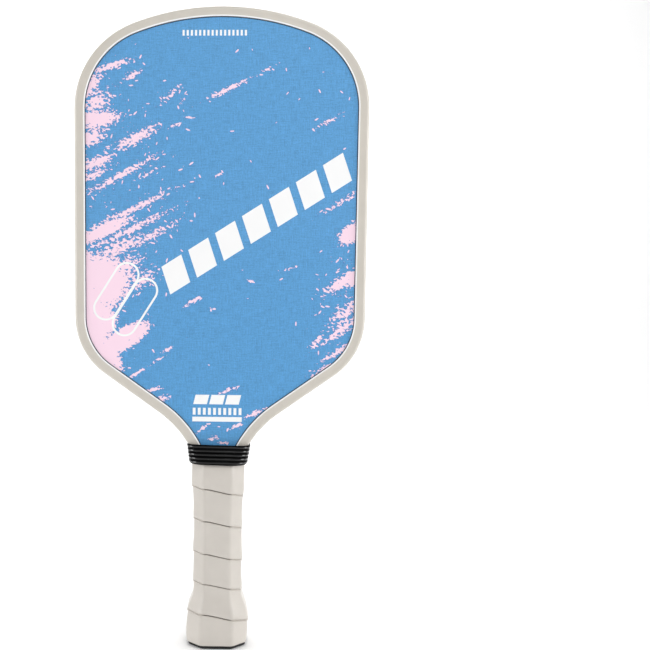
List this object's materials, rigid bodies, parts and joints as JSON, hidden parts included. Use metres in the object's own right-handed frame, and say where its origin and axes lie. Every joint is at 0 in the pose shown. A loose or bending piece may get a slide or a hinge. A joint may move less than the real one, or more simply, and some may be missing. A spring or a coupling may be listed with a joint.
{
  "type": "pickleball paddle",
  "caption": "Pickleball paddle: honeycomb panel with printed fibreglass faces, edge guard, octagonal cushion-taped handle, ribbed rubber collar and flared butt cap.",
  "frame": {"origin": "centre of the butt cap's flat end, where the paddle's long axis leaves the handle", "axes": "+Z along the handle towards the top of the blade, +X across the blade, -Y out of the front face"},
  "size_m": [0.1886, 0.0382, 0.4064],
  "materials": {
    "honeycomb_core": "extruded polypropylene honeycomb, translucent white",
    "core_scrim": "non-woven polyester scrim",
    "printed_fibreglass": "printed fibreglass sheet, satin, fine weave",
    "guard_tpu": "moulded thermoplastic edge guard, satin",
    "handle_abs": "moulded ABS handle shells",
    "cap_nylon": "moulded nylon, satin black",
    "badge_plastic": "blank moulded disc, polished",
    "brad_steel": "zinc plated steel wire",
    "grip_pu": "perforation-free polyurethane cushion tape, matt",
    "finishing_tape": "black vinyl tape",
    "collar_rubber": "moulded black rubber, glossy"
  },
  "bodies": {
    "root": {"core_panel": "honeycomb_core", "core_scrim_front": "core_scrim", "core_scrim_back": "core_scrim", "face_sheet_front": "printed_fibreglass", "face_sheet_back": "printed_fibreglass", "edge_guard": "guard_tpu", "handle_shell_front": "handle_abs", "handle_shell_back": "handle_abs", "butt_cap": "cap_nylon", "butt_cap_brads": "brad_steel", "butt_badge": "badge_plastic", "grip_start_staple": "brad_steel", "grip_wrap": "grip_pu", "finishing_tape": "finishing_tape", "rubber_collar": "collar_rubber"}
  },
  "joints": []
}
